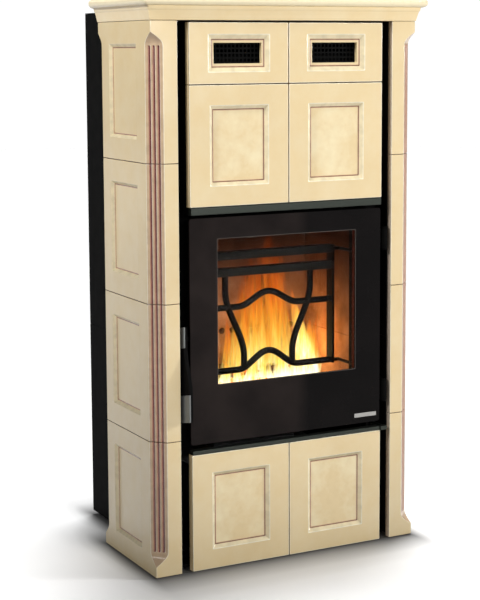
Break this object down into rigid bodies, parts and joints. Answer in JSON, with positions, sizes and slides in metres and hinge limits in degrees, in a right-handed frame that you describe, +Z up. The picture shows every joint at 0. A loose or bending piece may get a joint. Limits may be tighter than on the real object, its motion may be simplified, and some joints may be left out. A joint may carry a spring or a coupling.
{
  "type": "tiled wood stove",
  "caption": "Tall wood-burning stove clad in cream glazed tiles, with a black glass door, a wrought log guard, warm-air vents, a tiled ash drawer and a top flue outlet.",
  "frame": {"origin": "on the floor, under the centre of the box that the whole stove fills", "axes": "+Z up, -Y the way the front looks, +X to the right of a person who faces the front"},
  "size_m": [0.674, 0.541, 1.24],
  "materials": {
    "cream_glaze": "glossy cream glaze, brown hairlines in the sunk panels and dark red lines in the flutes",
    "black_paint": "matt black stove paint on sheet steel",
    "cast_iron": "matt black, slightly grained",
    "grey_metal": "satin grey",
    "smoked_glass": "ceramic glass, black printed border round a clear window",
    "fire_brick": "rough refractory brick",
    "rope_seal": "woven glass-fibre rope",
    "bare_steel": "plain sheet steel"
  },
  "bodies": {
    "stove_body": {"base_plate": "black_paint", "foot_front_left": "black_paint", "foot_front_right": "black_paint", "foot_rear_left": "black_paint", "foot_rear_right": "black_paint", "casing_lower_left": "black_paint", "casing_lower_right": "black_paint", "casing_upper_left": "black_paint", "casing_upper_right": "black_paint", "casing_back": "black_paint", "casing_top": "black_paint", "air_inlet": "bare_steel", "front_frame": "black_paint", "firebox_shell": "cast_iron", "smoke_box": "cast_iron", "flue_collar": "cast_iron", "brick_right": "fire_brick", "brick_left": "fire_brick", "brick_back_lower": "fire_brick", "brick_back_upper": "fire_brick", "brick_floor": "fire_brick", "fire_grate": "cast_iron", "baffle_plate": "fire_brick", "ash_chute": "bare_steel", "pilaster_left_1": "cream_glaze", "pilaster_left_2": "cream_glaze", "pilaster_left_3": "cream_glaze", "pilaster_left_4": "cream_glaze", "pilaster_right_1": "cream_glaze", "pilaster_right_2": "cream_glaze", "pilaster_right_3": "cream_glaze", "pilaster_right_4": "cream_glaze", "cornice": "cream_glaze", "vent_tile_left": "cream_glaze", "vent_tile_right": "cream_glaze", "upper_tile_left": "cream_glaze", "upper_tile_right": "cream_glaze", "vent_grille_left": "black_paint", "vent_grille_right": "black_paint", "upper_rail": "grey_metal", "hinge_bracket_lower": "cast_iron", "hinge_bracket_upper": "cast_iron", "latch_catch": "bare_steel", "drawer_runner_left": "bare_steel", "drawer_runner_right": "bare_steel"},
    "door": {"door_frame": "cast_iron", "door_glass": "smoked_glass", "door_gasket": "rope_seal", "plain_plate": "bare_steel", "log_guard": "cast_iron"},
    "handle": {"handle_arm": "black_paint", "handle_cap": "grey_metal", "handle_grip": "grey_metal"},
    "ash_drawer": {"drawer_front": "black_paint", "drawer_tray": "black_paint", "ash_pan": "bare_steel", "lower_tile_left": "cream_glaze", "lower_tile_right": "cream_glaze", "drawer_rail": "grey_metal"},
    "air_pull": {"air_lever": "grey_metal"}
  },
  "joints": [
    {"name": "door_swing", "type": "hinge", "parent": "stove_body", "child": "door", "pos_m": [0.24305, -0.2365, 0.51], "axis": [0, 0, 1], "range_deg": [0, 115]},
    {"name": "handle_turn", "type": "hinge", "parent": "door", "child": "handle", "pos_m": [-0.24505, -0.2282, 0.4965], "axis": [-1, 0, 0], "range_deg": [0, 40]},
    {"name": "ash_drawer_slide", "type": "slide", "parent": "stove_body", "child": "ash_drawer", "axis": [0, -1, 0], "range_m": [0, 0.26]},
    {"name": "air_pull_slide", "type": "slide", "parent": "stove_body", "child": "air_pull", "axis": [0, -1, 0], "range_m": [0, 0.045]}
  ]
}
